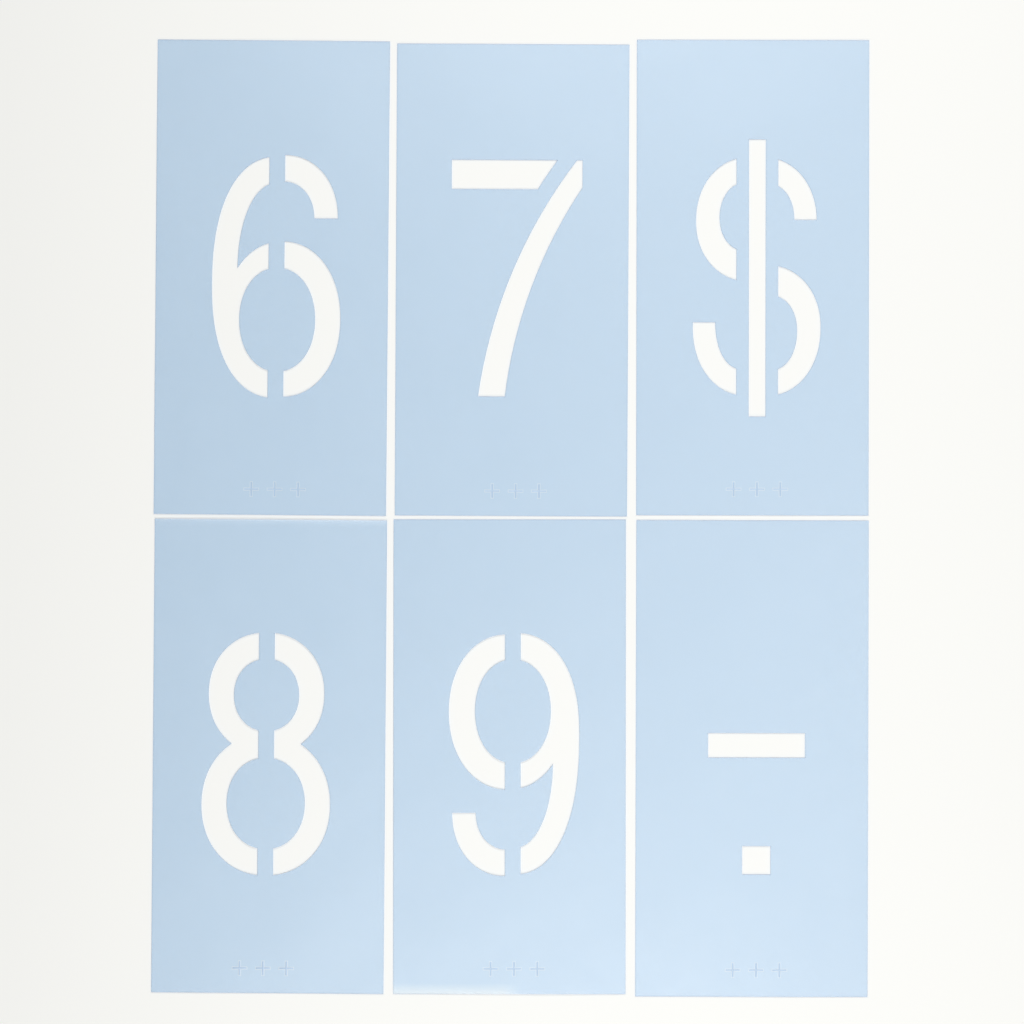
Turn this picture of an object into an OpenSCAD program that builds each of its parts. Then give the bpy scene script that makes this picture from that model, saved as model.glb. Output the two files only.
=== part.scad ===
// Lettering stencil: a set of six loose cards for marking out large figures.
// Each card is one rectangle of thin see-through film with its figure die cut through it.
// Film bridges hold the insides of the figures in place, so every closed figure is cut
// as two or more openings. The cards lie side by side in two rows of three, as laid by
// hand, and the eight lies face down. The origin is under the middle of the set.

/* [Card] */
// Width of a card
card_w = 149; // [115:1:220]
// Height of a card
card_h = 305; // [275:1:420]
// Thickness of the film
film_t = 0.5; // [0.3:0.1:2]

/* [Figures] */
// Height of a flat-topped figure above its baseline
cap_h = 152; // [140:1:175]
// Width of a round figure
figure_w = 82.7; // [80:0.1:95]
// Strip of film below the baseline
foot_margin = 77.3; // [50:0.1:100]
// How far the figures' axis stands to the right of the card's middle
axis_shift = 2.9; // [-8:0.1:8]
// How far round figures run past the cap line
rise_over = 2.1; // [0:0.1:4]
// How far round figures run past the baseline
dip_under = 1.2; // [0:0.1:4]
// Width of an upright stroke
stroke_w = 16.3; // [12:0.1:19]
// Width of a stroke that runs across
bar_w = 17.1; // [12:0.1:19]
// Width of the film bridges through a figure
bridge_w = 10; // [5:0.5:14]
// Squareness of the bowls, where 2 is a plain ellipse
bowl_power = 2.1; // [2:0.05:2.6]
// Squareness of the long backs of the six and the nine
back_power = 2.3; // [2:0.05:2.6]

/* [Six and nine] */
// Width of the bowl
bowl_w = 74.6; // [71:0.1:77]
// Height of the bowl's top above the baseline
bowl_top = 98.6; // [92:0.1:106]
// Width of the space inside the bowl
counter_w = 48.6; // [40:0.1:52]
// Height of the space inside the bowl above the baseline
counter_foot = 15; // [11:0.1:20]
// Full width of the oval that the long back is part of
back_w = 85; // [80:0.5:95]
// Height of the six's widest point on its long back above the baseline
back_mid = 71; // [60:1:80]
// How far the long back's own top runs past the cap line
back_rise = 1.1; // [0:0.1:4]
// How far the long back runs past the baseline
back_dip = 2.2; // [0:0.1:4]
// Width of the back's stroke above the bowl
back_stroke = 16.4; // [12:0.1:19]
// Full width of the oval inside the back
back_inner_w = 50; // [46:0.5:56]
// Height of the widest point inside the back
back_inner_mid = 80; // [74:1:88]
// How far the tail stops short of the figure's side
tail_inset = 2.2; // [0:0.1:6]
// Drop of the tail's cut end below the cap line
tail_drop = 38.6; // [32:0.1:44]
// Full width of the oval that the tail is part of
tail_w = 68; // [60:0.5:80]
// Width of the stroke at the tail's cut end
tail_stroke = 15.2; // [11:0.1:18]
// Full width of the oval inside the tail
tail_inner_w = 40; // [34:0.5:48]
// How much wider the nine is cut than the six, on each side
nine_spread = 0.6; // [0:0.1:2]
// Drop of the nine's widest point on its long back below the cap line
nine_back_mid = 63; // [60:1:80]
// How far the nine's bridge stands off its axis
nine_bridge_off = 0.8; // [-2:0.1:2]
// How much higher the nine stands than the six turned half round
nine_lift = 0.9; // [0:0.1:2]

/* [Seven] */
// Width of the seven
seven_w = 84; // [76:0.5:95]
// Depth of the bar along the top
seven_bar = 18.9; // [14:0.1:24]
// Radius of the stem's hollow edge
stem_r = 307.5; // [250:0.5:600]
// Left end of the stem's foot, left of the axis
stem_foot = 24.4; // [18:0.1:32]
// Width of the stem's foot
stem_foot_w = 17.2; // [12:0.1:20]
// Width of the stem's flat top
stem_top_w = 3.6; // [2:0.1:10]
// Height of the upright edge at the stem's top right corner
stem_side = 17.6; // [10:0.1:24]

/* [Eight] */
// Width of the upper bowl
upper_bowl_w = 74.3; // [66:0.1:80]
// Height of the middle of the waist above the baseline
waist_h = 83; // [76:0.5:90]
// How far the two bowls run into one another at the waist
waist_lap = 13.4; // [8:0.1:16]
// How much higher the eight stands than the other round figures
eight_extra = 0.9; // [0:0.1:3]
// How far the eight stands to the left of the figures' axis
eight_off = 1; // [-2:0.1:2]

/* [Dollar] */
// Width of the upright bar
dollar_bar_w = 10.9; // [7:0.1:14]
// How far the upright bar stands past the cap line
dollar_bar_up = 12; // [6:0.5:20]
// How far the upright bar hangs below the baseline
dollar_bar_down = 14; // [6:0.5:20]
// Film between the upright bar and the bows
dollar_bridge = 7.9; // [5:0.1:10]
// How far the bows run past the cap line and the baseline
dollar_over = 0.7; // [0:0.1:4]
// Width of the bows' strokes at their sides
dollar_stroke = 15.2; // [11:0.1:18]
// Width of the bows' strokes where they run across
dollar_cross = 16.4; // [12:0.1:19]
// Width of the strokes at their two cut ends
dollar_end = 14.5; // [10:0.1:17]
// Full width of the ovals that the bows are part of
bow_w = 69.7; // [64:0.1:76]
// Full width of the ovals inside the bows
bow_inner_w = 34; // [30:0.5:40]
// Reach of the upper bow, left of the axis
upper_bow = 39.4; // [36:0.1:46]
// Reach of the upper cut end, right of the axis
upper_end = 38.2; // [36:0.1:46]
// Reach of the lower bow, right of the axis
lower_bow = 40.8; // [36:0.1:46]
// Reach of the lower cut end, left of the axis
lower_end = 41.4; // [36:0.1:46]
// Drop of the upper bow's widest point below the cap line
upper_drop = 40.6; // [36:0.1:44]
// Height of the lower bow's widest point above the baseline
lower_rise = 43.4; // [38:0.1:48]
// Drop of the upper cut end below the cap line
upper_end_drop = 39.7; // [34:0.1:42]
// Height of the lower cut end above the baseline
lower_end_rise = 46.6; // [40:0.1:50]
// Height of the middle of the spine above the baseline
spine_mid = 78; // [72:0.5:84]
// Width of the spine
spine_w = 19.7; // [14:0.1:23]
// How far the spine falls from the left bow to the right one
spine_fall = 8.8; // [4:0.1:12]
// How far the bows' insides stand off towards the cap line and the baseline
inner_shift = 2.3; // [0:0.1:4]

/* [Dash and point] */
// Length of the dash
dash_w = 62.3; // [40:0.1:80]
// Depth of the dash
dash_h = 15.9; // [10:0.1:22]
// Height of the dash's middle above the baseline
dash_mid = 83.7; // [60:0.1:100]
// Side of the square point
point_w = 18.3; // [12:0.1:26]
// Height of the point's lower edge above the baseline
point_rise = 0.8; // [0:0.1:6]

/* [Mark] */
// Height of the small crosses pressed into each card's face
mark_h = 9; // [5:0.5:12]
// Spacing of the crosses
mark_pitch = 15; // [13:0.5:20]
// Width of a pressed line
mark_line = 1; // [0.5:0.1:2]
// Depth of a pressed line
mark_depth = 0.15; // [0.05:0.05:0.2]
// Height of the crosses above the card's lower edge
mark_foot = 16.7; // [10:0.1:24]

/* [Layout] */
// Space between neighbouring columns of cards
column_gap = 5.5; // [5:0.5:40]
// Space between the two rows of cards
row_gap = 2.5; // [2.5:0.5:40]
// Shift right, shift up and turn of the six card from its place in the grid
six_lay = [0.4, 0.4, -0.5]; // [-2:0.05:2]
// Shift right, shift up and turn of the seven card
seven_lay = [0.1, -0.75, -0.3]; // [-2:0.05:2]
// Shift right, shift up and turn of the dollar card
dollar_lay = [0.05, 0.4, -0.1]; // [-2:0.05:2]
// Shift right, shift up and turn of the eight card
eight_lay = [-1.4, 0.45, -0.45]; // [-2:0.05:2]
// Shift right, shift up and turn of the nine card
nine_lay = [-1.55, 0.15, -0.05]; // [-2:0.05:2]
// Shift right, shift up and turn of the dash card
dash_lay = [-0.45, -0.8, -0.15]; // [-2:0.05:2]

/* [Hidden] */
film_colour = [0.72, 0.83, 0.93];
// Straight steps in a quarter of an oval
arc_steps = 24;
// Steps round a whole circle of the seven's stem
stem_steps = 1440;
// Large enough to clip a figure on one side of a line
far = 400;
mark_count = 3;
cap_top = cap_h + rise_over;

column_pitch = card_w + column_gap;
row_pitch = card_h + row_gap;
// Column, row and lay of every card
places = [
    [-1, 0.5, six_lay],
    [0, 0.5, seven_lay],
    [1, 0.5, dollar_lay],
    [-1, -0.5, eight_lay],
    [0, -0.5, nine_lay],
    [1, -0.5, dash_lay]
];
function card_x(p) = p[0] * column_pitch + p[2][0];
function card_y(p) = p[1] * row_pitch + p[2][1];
function reach_x(p) = (card_w * cos(p[2][2]) + card_h * abs(sin(p[2][2]))) / 2;
function reach_y(p) = (card_h * cos(p[2][2]) + card_w * abs(sin(p[2][2]))) / 2;
function middle(lows, highs) = (min(lows) + max(highs)) / 2;
// Middle of the set's footprint, which goes over the origin
set_x = middle([for (p = places) card_x(p) - reach_x(p)], [for (p = places) card_x(p) + reach_x(p)]);
set_y = middle([for (p = places) card_y(p) - reach_y(p)], [for (p = places) card_y(p) + reach_y(p)]);

// Point of an oval at angle t, with its own height above and below its widest level
function egg_point(t, half_w, up, down, power) = [
    sign(cos(t)) * half_w * pow(abs(cos(t)), 2 / power),
    sign(sin(t)) * (sin(t) > 0 ? up : down) * pow(abs(sin(t)), 2 / power)
];

// Oval from its left and right, bottom and top, and the height of its widest level
module egg(left, right, bottom, top, mid, power = bowl_power) {
    translate([(left + right) / 2, mid])
        polygon([for (i = [0:4 * arc_steps - 1])
            egg_point(90 * i / arc_steps, (right - left) / 2, top - mid, mid - bottom, power)]);
}

// Oval that is the same above and below its middle
module oval(left, right, bottom, top) {
    egg(left, right, bottom, top, (bottom + top) / 2);
}

// Rectangle from its left and right, bottom and top
module block(left, right, bottom, top) {
    translate([left, bottom])
        square([right - left, top - bottom]);
}

// Film bridge that runs straight up through a figure
module bridge(off = 0) {
    block(off - bridge_w / 2, off + bridge_w / 2, -far, far);
}

// The six, which is also the nine turned half round
module bowl_figure(spread, widest, bridge_off) {
    side = figure_w / 2 + spread;
    counter_right = figure_w / 2 - stroke_w;
    back_left = back_stroke - figure_w / 2;
    back_top = cap_h + back_rise - bar_w;
    end_y = cap_h - tail_drop;
    tail_right = side - tail_inset;
    tail_bottom = 2 * end_y - cap_top;
    difference() {
        union() {
            oval(side - bowl_w - 2 * spread, side, -dip_under, bowl_top);
            intersection() {
                difference() {
                    egg(-side, back_w - side, -back_dip, cap_h + back_rise, widest, back_power);
                    egg(back_left, back_left + back_inner_w, 2 * back_inner_mid - back_top,
                        back_top, back_inner_mid);
                }
                block(-far, bridge_off, -far, far);
            }
            intersection() {
                difference() {
                    oval(tail_right - tail_w, tail_right, tail_bottom, cap_top);
                    oval(tail_right - tail_stroke - tail_inner_w, tail_right - tail_stroke,
                        tail_bottom + bar_w, cap_top - bar_w);
                }
                block(bridge_off, far, end_y, far);
            }
        }
        oval(counter_right - counter_w, counter_right, counter_foot, bowl_top - bar_w);
        bridge(bridge_off);
    }
}

// Middle of a circle of radius r through the points a and b, on the right of the way there
function arc_middle(a, b, r) =
    let (d = b - a, half = norm(d) / 2)
    (a + b) / 2 + sqrt(r * r - half * half) * [d[1], -d[0]] / (2 * half);

// The seven: a bar and a curved stem, parted by a bridge that follows the stem
module seven_figure() {
    side = seven_w / 2;
    outer_r = stem_r + stroke_w;
    outer = arc_middle([-stem_foot, 0], [side - stem_top_w, cap_h], outer_r);
    inner = arc_middle([stem_foot_w - stem_foot, 0], [side, cap_h - stem_side], stem_r);
    intersection() {
        difference() {
            translate(outer) circle(r = outer_r, $fn = stem_steps);
            translate(inner) circle(r = stem_r, $fn = stem_steps);
        }
        block(-side, side, 0, cap_h);
    }
    difference() {
        block(-side, side, cap_h - seven_bar, cap_h);
        translate(outer) circle(r = outer_r + bridge_w, $fn = stem_steps);
    }
}

// The eight: two bowls that meet at the waist
module eight_figure() {
    upper = upper_bowl_w / 2;
    lower = figure_w / 2;
    top = cap_top + eight_extra;
    difference() {
        union() {
            oval(-upper, upper, waist_h - waist_lap / 2, top);
            oval(-lower, lower, -dip_under, waist_h + waist_lap / 2);
        }
        oval(stroke_w - upper, upper - stroke_w, waist_h + bar_w / 2, top - bar_w);
        oval(stroke_w - lower, lower - stroke_w, bar_w - dip_under, waist_h - bar_w / 2);
        bridge();
    }
}

// The dollar sign: an upright bar between two bows and two cut ends
module dollar_figure() {
    top = cap_h + dollar_over;
    bottom = -dollar_over;
    upper_mid = cap_h - upper_drop;
    high_spine = spine_mid + spine_fall / 2;
    low_spine = spine_mid - spine_fall / 2;
    clear = dollar_bar_w / 2 + dollar_bridge;
    block(-dollar_bar_w / 2, dollar_bar_w / 2, -dollar_bar_down, cap_h + dollar_bar_up);
    // Upper bow, on the left
    intersection() {
        difference() {
            egg(-upper_bow, bow_w - upper_bow, high_spine - spine_w / 2, top, upper_mid);
            egg(dollar_stroke - upper_bow, dollar_stroke - upper_bow + bow_inner_w,
                high_spine + spine_w / 2, top - dollar_cross, upper_mid + inner_shift);
        }
        block(-far, -clear, -far, far);
    }
    // Lower bow, on the right
    intersection() {
        difference() {
            egg(lower_bow - bow_w, lower_bow, bottom, low_spine + spine_w / 2, lower_rise);
            egg(lower_bow - dollar_stroke - bow_inner_w, lower_bow - dollar_stroke,
                bottom + dollar_cross, low_spine - spine_w / 2, lower_rise - inner_shift);
        }
        block(clear, far, -far, far);
    }
    // Upper cut end, on the right
    intersection() {
        difference() {
            egg(upper_end - bow_w, upper_end, spine_mid, top, upper_mid);
            egg(upper_end - dollar_end - bow_inner_w, upper_end - dollar_end,
                spine_mid, top - bar_w, cap_h - upper_end_drop);
        }
        block(clear, far, cap_h - upper_end_drop, far);
    }
    // Lower cut end, on the left
    intersection() {
        difference() {
            egg(-lower_end, bow_w - lower_end, bottom, spine_mid, lower_rise);
            egg(dollar_end - lower_end, dollar_end - lower_end + bow_inner_w,
                bottom + bar_w, spine_mid, lower_end_rise);
        }
        block(-far, -clear, -far, lower_end_rise);
    }
}

// The dash with the point below it
module dash_figure() {
    block(-dash_w / 2, dash_w / 2, dash_mid - dash_h / 2, dash_mid + dash_h / 2);
    block(-point_w / 2, point_w / 2, point_rise, point_rise + point_w);
}

// Row of small crosses, a plain mark pressed into the face
module crosses() {
    for (i = [0:mark_count - 1])
        translate([(i - (mark_count - 1) / 2) * mark_pitch, 0]) {
            square([mark_h, mark_line], center = true);
            square([mark_line, mark_h], center = true);
        }
}

// One card, face up, its middle over the origin, with the figure that is given to it
module card() {
    difference() {
        linear_extrude(film_t)
            difference() {
                square([card_w, card_h], center = true);
                translate([axis_shift, foot_margin - card_h / 2])
                    children();
            }
        translate([axis_shift, mark_foot - card_h / 2, film_t - mark_depth])
            linear_extrude(film_t)
                crosses();
    }
}

// Puts a card in its place in the set
module lay(i) {
    p = places[i];
    translate([card_x(p) - set_x, card_y(p) - set_y, 0])
        rotate([0, 0, p[2][2]])
            children();
}

module six_card() {
    color(film_colour)
        lay(0) card() bowl_figure(0, back_mid, 0);
}

module seven_card() {
    color(film_colour)
        lay(1) card() seven_figure();
}

module dollar_card() {
    color(film_colour)
        lay(2) card() dollar_figure();
}

// This card lies face down
module eight_card() {
    color(film_colour)
        lay(3) translate([0, 0, film_t]) rotate([0, 180, 0]) card()
            translate([-eight_off, 0]) eight_figure();
}

module nine_card() {
    color(film_colour)
        lay(4) card()
            translate([0, cap_h + nine_lift]) rotate(180)
                bowl_figure(nine_spread, nine_back_mid, nine_bridge_off);
}

module dash_card() {
    color(film_colour)
        lay(5) card() dash_figure();
}

six_card();
seven_card();
dollar_card();
eight_card();
nine_card();
dash_card();
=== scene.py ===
import math

import bmesh
import bpy
from mathutils import Matrix, Vector


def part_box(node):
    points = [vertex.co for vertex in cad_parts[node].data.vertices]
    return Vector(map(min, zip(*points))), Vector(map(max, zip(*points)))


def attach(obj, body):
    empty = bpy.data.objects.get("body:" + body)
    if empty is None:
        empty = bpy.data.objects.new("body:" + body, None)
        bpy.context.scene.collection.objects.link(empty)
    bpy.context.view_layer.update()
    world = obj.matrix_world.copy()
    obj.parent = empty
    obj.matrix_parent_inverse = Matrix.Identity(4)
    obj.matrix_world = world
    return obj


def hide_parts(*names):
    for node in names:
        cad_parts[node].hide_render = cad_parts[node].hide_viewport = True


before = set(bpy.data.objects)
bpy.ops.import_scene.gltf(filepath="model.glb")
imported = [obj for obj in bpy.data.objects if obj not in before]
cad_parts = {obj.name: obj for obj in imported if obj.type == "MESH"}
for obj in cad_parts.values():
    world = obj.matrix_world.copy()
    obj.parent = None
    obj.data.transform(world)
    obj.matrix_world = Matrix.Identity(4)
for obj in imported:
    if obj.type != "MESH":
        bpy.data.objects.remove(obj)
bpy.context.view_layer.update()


# The six, top left. A rectangle of blue see-through stencil film, half a millimetre thick,
# with its figure die cut through it and a small mark pressed in near its foot. The film was
# rolled once, so it lies a little domed over the table.

film_t = 0.0005
card_w = 0.149
card_h = 0.305

# The rounding of the cut edges. A face whose normal rises less than wall_slope is a cut
# wall. Edges are shaded smooth up to soft_angle, and flat faces joined up to flat_angle.
edge_round = 0.00008
round_steps = 2
wall_slope = 0.5
soft_angle = math.radians(18)
flat_angle = math.radians(0.5)
weld = 1e-6

# The cells that the card bends by, with finer lines this far from its foot and its top
cell = 0.008
curl_steps = (0.0007, 0.0014, 0.0022, 0.003, 0.0039, 0.0049, 0.006, 0.0105, 0.0125, 0.0145)

# The pressed crosses, their lines, the pale rims beside these (a painted highlight), and the far
# side's ridges
axis_shift = 0.0029
cross_foot = 0.0167
cross_pitch = 0.015
cross_half = 0.0045
line_half = 0.0005
line_bed = 0.00012
rim_w = 0.0005
press_depth = 0.00015
press_through = 0.0001

# How softly the table stops a bend, in square metres. Each ripple has a length, the way
# it runs in degrees, and a phase, which also shifts with the card's turn.
settle = 1e-8
ripple_high = 0.00012
ripples = ((0.11, 38, 0.7), (0.073, 121, 2.1))
ripple_turn = 9

film_blue = (0.572, 0.778, 0.988, 1)
film_deep = (0.552, 0.763, 0.978, 1)
film_alpha = 0.45
# The sides of the pressed lines: a deeper, denser blue, painted shade
pressed_shade_blue = (0.43, 0.63, 0.92, 1)
pressed_shade_deep = (0.40, 0.60, 0.90, 1)
pressed_alpha = 0.5
# The rims beside the pressed lines: a paler blue, a painted highlight
rim_highlight_blue = (0.76, 0.90, 1, 1)
rim_highlight_deep = (0.73, 0.88, 1, 1)
film_gloss = 0.46
gloss_spread = 0.08
film_shine = 1.0
film_ior = 1.9
film_tint = (1, 0.97, 0.93, 1)
cut_blue = (0.10, 0.28, 0.62, 1)
cut_alpha = 0.85
cut_gloss = 0.45
cut_spread = 0.2

# The painted highlight on the nine, a pale band along its lower edge: its colour, how high it
# reaches, where it ends on the right and how softly, and how far left of the card it is cut off,
# clear of the eight
nine_highlight_blue = (0.80, 0.92, 1, 1)
nine_highlight_reach = 0.0075
nine_highlight_end = 0.0015
nine_highlight_fade = 0.006
nine_highlight_start = (0.002, 0.001)

# Noise patterns: scale and detail
slow_cloud = (9, 2)
haze_cloud = (55, 4)
film_grain = (1400, 2)
cut_nicks = (900, 3)
slow_share = 0.6
haze_share = 0.4

# Bumps: strength and height
wave_bump = (1, 0.0009)
grain_bump = (0.25, 0.00001)
nick_bump = (0.4, 0.00002)

# The places of the materials on a card
on_face, on_cut, on_pressed, on_rim = range(4)


class Wire:
    """An output of a shader node, with the sums that are used on it."""

    def __init__(self, tree, socket):
        self.tree = tree
        self.socket = socket

    @classmethod
    def node(cls, tree, kind, settings=None, sockets=None, out=0):
        """Adds a node, sets first its settings and then its sockets, and gives an output."""
        made = tree.nodes.new(kind)
        for key, value in (settings or {}).items():
            setattr(made, key, value)
        for key, value in (sockets or {}).items():
            if isinstance(value, Wire):
                tree.links.new(value.socket, made.inputs[key])
            else:
                made.inputs[key].default_value = value
        return cls(tree, made.outputs[out]) if made.outputs else made

    def sum_with(self, operation, other):
        return Wire.node(self.tree, "ShaderNodeMath", {"operation": operation}, {0: self, 1: other})

    def __add__(self, other):
        return self.sum_with("ADD", other)

    __radd__ = __add__

    def __mul__(self, other):
        return self.sum_with("MULTIPLY", other)

    __rmul__ = __mul__


def new_material(name):
    """A material and its node tree, which is empty."""
    made = bpy.data.materials.new(name)
    made.use_nodes = True
    made.node_tree.nodes.clear()
    return made, made.node_tree


def noise(tree, place, pattern):
    """A noise pattern on the given place."""
    scale, detail = pattern
    sockets = {"Vector": place, "Scale": scale, "Detail": detail}
    return Wire.node(tree, "ShaderNodeTexNoise", {}, sockets)


def bump(tree, relief, height, **under):
    """A normal that follows the height, over the normal under it where one is given."""
    strength, distance = relief
    sockets = {"Strength": strength, "Distance": distance, "Height": height, **under}
    return Wire.node(tree, "ShaderNodeBump", {}, sockets)


def film_skin(name, deep, blue, alpha):
    """Satin film: an even dye, a faint haze that comes and goes, and slow waves."""
    made, tree = new_material(name)
    place = Wire.node(tree, "ShaderNodeTexCoord", out="Object")
    slow = noise(tree, place, slow_cloud)
    haze = noise(tree, place, haze_cloud)
    grain = noise(tree, place, film_grain)
    dye = Wire.node(
        tree,
        "ShaderNodeMix",
        {"data_type": "RGBA"},
        {"Factor": slow * slow_share + haze * haze_share, 6: deep, 7: blue},
        out=2,
    )
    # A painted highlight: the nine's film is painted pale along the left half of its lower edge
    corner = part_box("nine_card")[0]
    across = Wire.node(tree, "ShaderNodeSeparateXYZ", {}, {"Vector": place})
    along = Wire(tree, across.socket.node.outputs["Y"])
    spans = (
        (along, corner.y + nine_highlight_reach, corner.y),
        (across, nine_highlight_end + nine_highlight_fade, nine_highlight_end - nine_highlight_fade),
        (across, *(corner.x - left for left in nine_highlight_start)),
    )
    nine_highlight = 1
    for value, none, full in spans:
        nine_highlight = nine_highlight * Wire.node(
            tree, "ShaderNodeMapRange", {}, {"Value": value, "From Min": none, "From Max": full}
        )
    dye = Wire.node(
        tree, "ShaderNodeMix", {"data_type": "RGBA"}, {"Factor": nine_highlight, 6: dye, 7: nine_highlight_blue}, out=2
    )
    waves = bump(tree, wave_bump, slow)
    satin = bump(tree, grain_bump, grain, Normal=waves)
    face = Wire.node(
        tree,
        "ShaderNodeBsdfPrincipled",
        {},
        {
            "Base Color": dye,
            "Roughness": film_gloss - gloss_spread / 2 + haze * gloss_spread,
            "Specular IOR Level": film_shine,
            "Specular Tint": film_tint,
            "IOR": film_ior,
            "Alpha": alpha,
            "Normal": satin,
        },
    )
    Wire.node(tree, "ShaderNodeOutputMaterial", {}, {"Surface": face})
    return made


film_face = film_skin("film_face", film_deep, film_blue, film_alpha)
# Where the die pressed a line, its sloping sides are painted a deeper blue: painted shade
film_pressed_shade = film_skin("film_pressed_shade", pressed_shade_deep, pressed_shade_blue, pressed_alpha)
# Beside the line the film is painted paler: a painted highlight
film_rim_highlight = film_skin("film_rim_highlight", rim_highlight_deep, rim_highlight_blue, film_alpha)

# Cut walls of the film, where the eye looks along the sheet and the blue deepens
film_cut, tree = new_material("film_cut")
place = Wire.node(tree, "ShaderNodeTexCoord", out="Object")
nicks = noise(tree, place, cut_nicks)
wall = Wire.node(
    tree,
    "ShaderNodeBsdfPrincipled",
    {},
    {
        "Base Color": cut_blue,
        "Roughness": cut_gloss + nicks * cut_spread,
        "Alpha": cut_alpha,
        "Normal": bump(tree, nick_bump, nicks),
    },
)
Wire.node(tree, "ShaderNodeOutputMaterial", {}, {"Surface": wall})


def slice_sheet(sheet, normal, cuts, near=lambda spot: True):
    """Cuts the faces that lie near along lines square to normal, at the given distances."""
    for at in cuts:
        faces = [f for f in sheet.faces if near(f.calc_center_bounds())]
        edges = {e for f in faces for e in f.edges}
        verts = {v for e in edges for v in e.verts}
        bmesh.ops.bisect_plane(
            sheet, geom=[*faces, *edges, *verts], dist=weld, plane_co=normal * at, plane_no=normal
        )


def pressed(x, y, mid_x, mid_y):
    """How deep the row of crosses is pressed at a point, from 0 to 1, or under 0 beside it."""
    deepest = -math.inf
    for k in (-1, 0, 1):
        across = abs(x - mid_x - k * cross_pitch)
        up = abs(y - mid_y)
        for side, along in ((across, up), (up, across)):
            wall = (line_half - side) / (line_half - line_bed)
            end = (cross_half - along) / (line_half - line_bed)
            deepest = max(deepest, min(1, wall, end))
    return deepest


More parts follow.
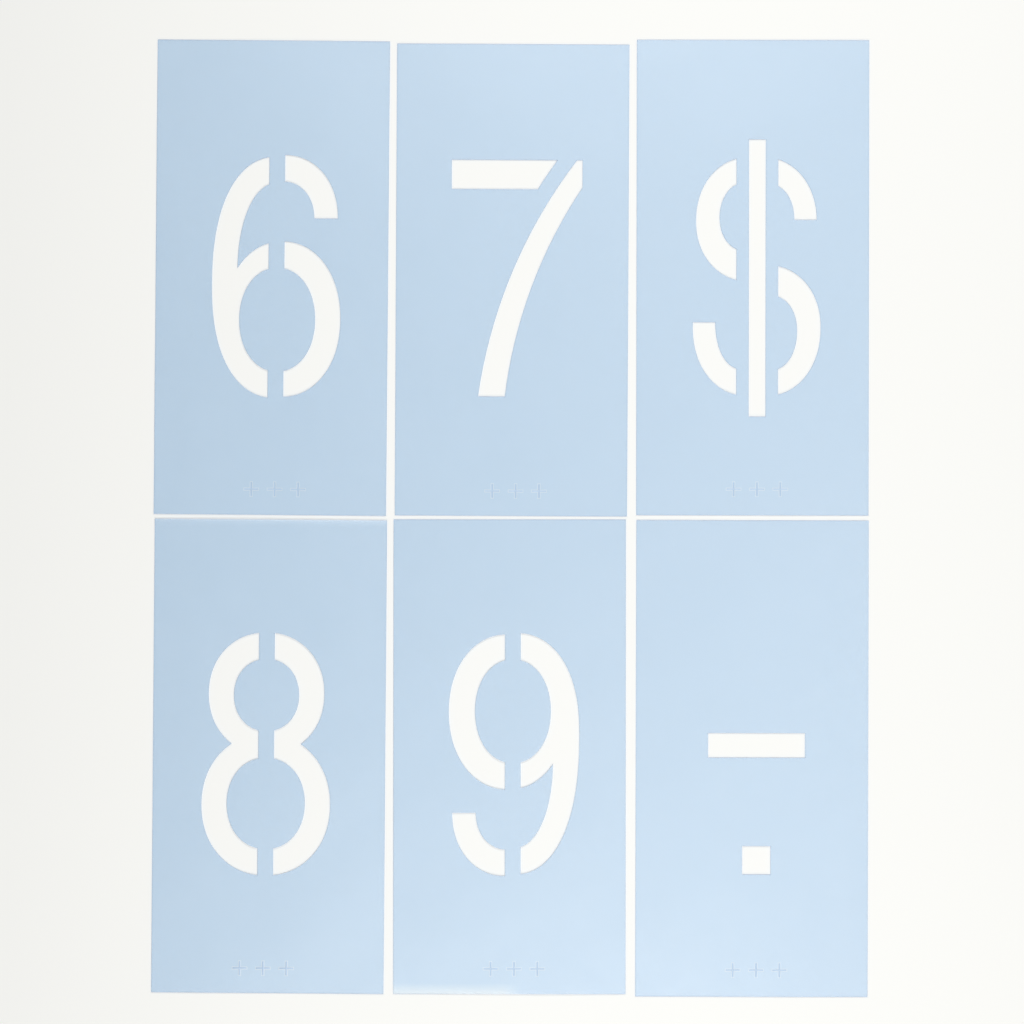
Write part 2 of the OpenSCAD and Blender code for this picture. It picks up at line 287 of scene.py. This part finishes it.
def film_card(name, turn, trims, stand, falls, face_up=True):
    """A card of film from its CAD node, sliced fine enough to bend.

    turn is how far it lies turned, in degrees. trims are how far its foot and its top are
    cut short. stand is how high its middle lies over the table. falls are the bends down
    to its edges: the way they face, in degrees from the card's right, where they start
    from its middle, and how far they drop by the card's last corner that way. A bend up
    has a drop below 0."""
    low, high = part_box(name)
    middle = (low + high) / 2
    to_middle = Matrix.Translation((-middle.x, -middle.y, 0))
    to_card = Matrix.Rotation(-math.radians(turn), 4, "Z") @ to_middle
    sheet = bmesh.new()
    sheet.from_mesh(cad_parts[name].data)
    bmesh.ops.transform(sheet, matrix=to_card, verts=sheet.verts)
    bmesh.ops.remove_doubles(sheet, verts=sheet.verts, dist=weld)
    # The square grooves of the CAD mark are closed, and pressed crosses take their place
    foot, top = trims
    for v in sheet.verts:
        v.co.z = film_t if v.co.z > film_t / 2 else 0
        if abs(v.co.y) > card_h / 2 - edge_round:
            v.co.y += foot if v.co.y < 0 else -top
    bmesh.ops.remove_doubles(sheet, verts=sheet.verts, dist=2 * weld)
    bmesh.ops.dissolve_limit(
        sheet, angle_limit=flat_angle, verts=sheet.verts, edges=sheet.edges, delimit={"NORMAL"}
    )
    for f in sheet.faces:
        f.material_index = on_cut if abs(f.normal.z) < wall_slope else on_face
    rim = [e for e in sheet.edges if len({f.material_index for f in e.link_faces}) == 2]
    bmesh.ops.bevel(
        sheet,
        geom=rim,
        offset=edge_round,
        affect="EDGES",
        segments=round_steps,
        profile=0.5,
        material=-1,
    )
    bmesh.ops.triangulate(sheet, faces=sheet.faces)
    right, ahead = Vector((1, 0, 0)), Vector((0, 1, 0))
    columns, rows = round(card_w / cell), round(card_h / cell)
    slice_sheet(sheet, right, [card_w * (k / columns - 0.5) for k in range(1, columns)])
    slice_sheet(sheet, ahead, [card_h * (k / rows - 0.5) for k in range(1, rows)])
    for side in (-1, 1):
        near = lambda at: side * at.y > card_h / 2 - 2 * cell
        slice_sheet(sheet, ahead, [side * (card_h / 2 - step) for step in curl_steps], near)
    # Finer lines where the crosses are pressed
    mid_x = axis_shift if face_up else -axis_shift
    mid_y = cross_foot - card_h / 2
    profile = (0, line_bed, (line_bed + line_half) / 2, line_half, line_half + rim_w)
    ends = (cross_half - line_half + line_bed, cross_half, cross_half + rim_w)
    rim_end = -rim_w / (line_half - line_bed)
    steps = [side * p for p in profile + ends for side in (-1, 1)]
    for k in (-1, 0, 1):
        spot = Vector((mid_x + k * cross_pitch, mid_y))
        near = lambda at: max(abs(at.x - spot.x), abs(at.y - spot.y)) < cross_half + cell / 2
        slice_sheet(sheet, right, [spot.x + step for step in steps], near)
        slice_sheet(sheet, ahead, [spot.y + step for step in steps], near)
    for f in sheet.faces:
        spot = f.calc_center_median()
        if f.material_index == on_face and (spot.z > film_t / 2 or not face_up):
            depth = pressed(spot.x, spot.y, mid_x, mid_y)
            if 0 < depth < 1:
                f.material_index = on_pressed
            elif rim_end < depth < 0:
                f.material_index = on_rim
    for v in sheet.verts:
        x, y = v.co.x, v.co.y
        lift = stand
        for way, start, drop in falls:
            c, s = math.cos(math.radians(way)), math.sin(math.radians(way))
            reach = abs(c) * card_w / 2 + abs(s) * card_h / 2
            t = max(0, (x * c + y * s - start) / (reach - start))
            lift -= drop * t * t
        lift = (lift + math.sqrt(lift * lift + settle)) / 2
        for length, way, phase in ripples:
            c, s = math.cos(math.radians(way)), math.sin(math.radians(way))
            crest = math.sin(math.tau * (x * c + y * s) / length + phase + turn * ripple_turn)
            lift += ripple_high * (1 + crest) / 2
        dent = max(0, pressed(x, y, mid_x, mid_y))
        if v.co.z > film_t / 2:
            lift += -press_depth * dent if face_up else press_through * dent
        elif not face_up:
            lift += press_depth * dent
        v.co.z += lift
    bmesh.ops.triangulate(sheet, faces=sheet.faces)
    sheet.normal_update()
    for e in sheet.edges:
        e.smooth = e.calc_face_angle(0) < soft_angle
    bmesh.ops.transform(sheet, matrix=to_card.inverted(), verts=sheet.verts)
    mesh = bpy.data.meshes.new(name + "_film")
    sheet.to_mesh(mesh)
    sheet.free()
    mesh.polygons.foreach_set("use_smooth", [True] * len(mesh.polygons))
    for skin in (film_face, film_cut, film_pressed_shade, film_rim_highlight):
        mesh.materials.append(skin)
    card = bpy.data.objects.new(name + "_film", mesh)
    bpy.context.scene.collection.objects.link(card)
    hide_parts(name)
    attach(card, name)


film_card(
    "six_card",
    turn=-0.5,
    trims=(0.0003, 0.0003),
    stand=0.0003,
    falls=[(0, 0.02, 0.0003), (180, 0.03, 0.0002), (90, 0.08, 0.0003), (270, 0.08, 0.0003)],
)


# The seven, top middle. The same film, die cut as a plain bar and a stem. It is the
# shortest of the six cards and lies almost flat.

flat_falls = [(0, 0.02, 0.0002), (180, 0.02, 0.0002), (90, 0.08, 0.0002), (270, 0.08, 0.0002)]
film_card("seven_card", turn=-0.3, trims=(0.0008, 0.0015), stand=0.0002, falls=flat_falls)


# The dollar sign, top right. The same film, die cut, with the upright bar cut free of its
# bows. It lies as flat as the seven.

film_card("dollar_card", turn=-0.1, trims=(0, 0), stand=0.0002, falls=flat_falls)


# The eight, bottom left. The same film, die cut, the only card that lies face down, so its
# pressed mark shows as low ridges. Its top edge curls up a little.

film_card(
    "eight_card",
    turn=-0.45,
    trims=(0.0008, 0.0003),
    stand=0.0004,
    falls=[(0, 0.02, 0.0004), (180, 0.02, 0.0004), (90, 0.1475, -0.0006), (270, 0.08, 0.0004)],
    face_up=False,
)


# The nine, bottom middle. The same film, die cut. The left half of its lower edge bends
# down to the table, and a pale highlight is painted into the film there.

film_card(
    "nine_card",
    turn=-0.05,
    trims=(0.0005, 0),
    stand=0.0005,
    falls=[(0, 0.02, 0.0004), (180, 0.02, 0.0001), (90, -0.02, 0.0004), (266, 0.1488, 0.0005)],
)


# The dash and the point, bottom right. The same film, die cut, with the most of it left
# bare. It is the longest of the six cards.

film_card("dash_card", turn=-0.15, trims=(-0.0003, -0.0004), stand=0.0002, falls=flat_falls)


# The table: plain matt off-white card, far larger than the view. Past the lamps' light it
# fades into the white of the room.

floor_white = (0.93, 0.93, 0.905, 1)
floor_gloss = 0.9
floor_shine = 0.2
floor_half = 4
fade_from = 0.55
fade_to = 1.6
card_fibre = (600, 3)
fibre_bump = (0.1, 0.00003)

table, tree = new_material("table_card")
place = Wire.node(tree, "ShaderNodeTexCoord", out="Object")
fibre = noise(tree, place, card_fibre)
reach = Wire.node(tree, "ShaderNodeVectorMath", {"operation": "LENGTH"}, {0: place}, out="Value")
solid = Wire.node(
    tree,
    "ShaderNodeMapRange",
    {"interpolation_type": "SMOOTHSTEP"},
    {"Value": reach, "From Min": fade_to, "From Max": fade_from},
)
board = Wire.node(
    tree,
    "ShaderNodeBsdfPrincipled",
    {},
    {
        "Base Color": floor_white,
        "Roughness": floor_gloss,
        "Specular IOR Level": floor_shine,
        "Alpha": solid,
        "Normal": bump(tree, fibre_bump, fibre),
    },
)
Wire.node(tree, "ShaderNodeOutputMaterial", {}, {"Surface": board})
sheet = bmesh.new()
bmesh.ops.create_grid(sheet, x_segments=1, y_segments=1, size=floor_half)
mesh = bpy.data.meshes.new("table")
sheet.to_mesh(mesh)
sheet.free()
mesh.materials.append(table)
table_top = bpy.data.objects.new("table", mesh)
bpy.context.scene.collection.objects.link(table_top)


# The light: an even white room and three square soft boxes, one below the set, one above
# it and one high up on the right, the side that is a little brighter.

room_light = 0.3
room_white = (1, 1, 0.985, 1)
lamp_size = 0.6

world = bpy.data.worlds.new("room")
bpy.context.scene.world = world
world.use_nodes = True
tree = world.node_tree
tree.nodes.clear()
# The room shows as white, seen straight and through anything clear
seen = Wire.node(tree, "ShaderNodeLightPath", out="Is Camera Ray")
through = Wire.node(tree, "ShaderNodeLightPath", out="Is Transmission Ray")
room = Wire.node(
    tree,
    "ShaderNodeBackground",
    {},
    {"Color": room_white, "Strength": room_light + (seen + through) * (1 - room_light)},
)
Wire.node(tree, "ShaderNodeOutputWorld", {}, {"Surface": room})


def soft_lamp(name, place, watts):
    """A square soft box that looks at the middle of the set."""
    lamp = bpy.data.lights.new(name, "AREA")
    lamp.size = lamp_size
    lamp.energy = watts
    made = bpy.data.objects.new(name, lamp)
    made.location = place
    made.rotation_euler = Vector(place).to_track_quat("Z", "Y").to_euler()
    bpy.context.scene.collection.objects.link(made)


soft_lamp("lower_lamp", (0.09, -0.817, 1.15), watts=8.0)
soft_lamp("upper_lamp", (0.173, 0.908, 1.15), watts=8.32)
soft_lamp("right_lamp", (0.771, -0.147, 2.236), watts=8.28)


# The camera hangs straight over the set, far enough off that the cards keep their shape.
# Its lens is set by how much of the table it has to take in.

view_width = 0.6575
view_middle = (0.00114, 0.00372)
camera_height = 1.7
sensor = 36

camera_data = bpy.data.cameras.new("camera")
camera_data.sensor_width = sensor
camera_data.lens = sensor * camera_height / view_width
camera = bpy.data.objects.new("camera", camera_data)
camera.location = (*view_middle, camera_height)
bpy.context.scene.collection.objects.link(camera)
bpy.context.scene.camera = camera
bpy.context.scene.view_settings.view_transform = "Standard"
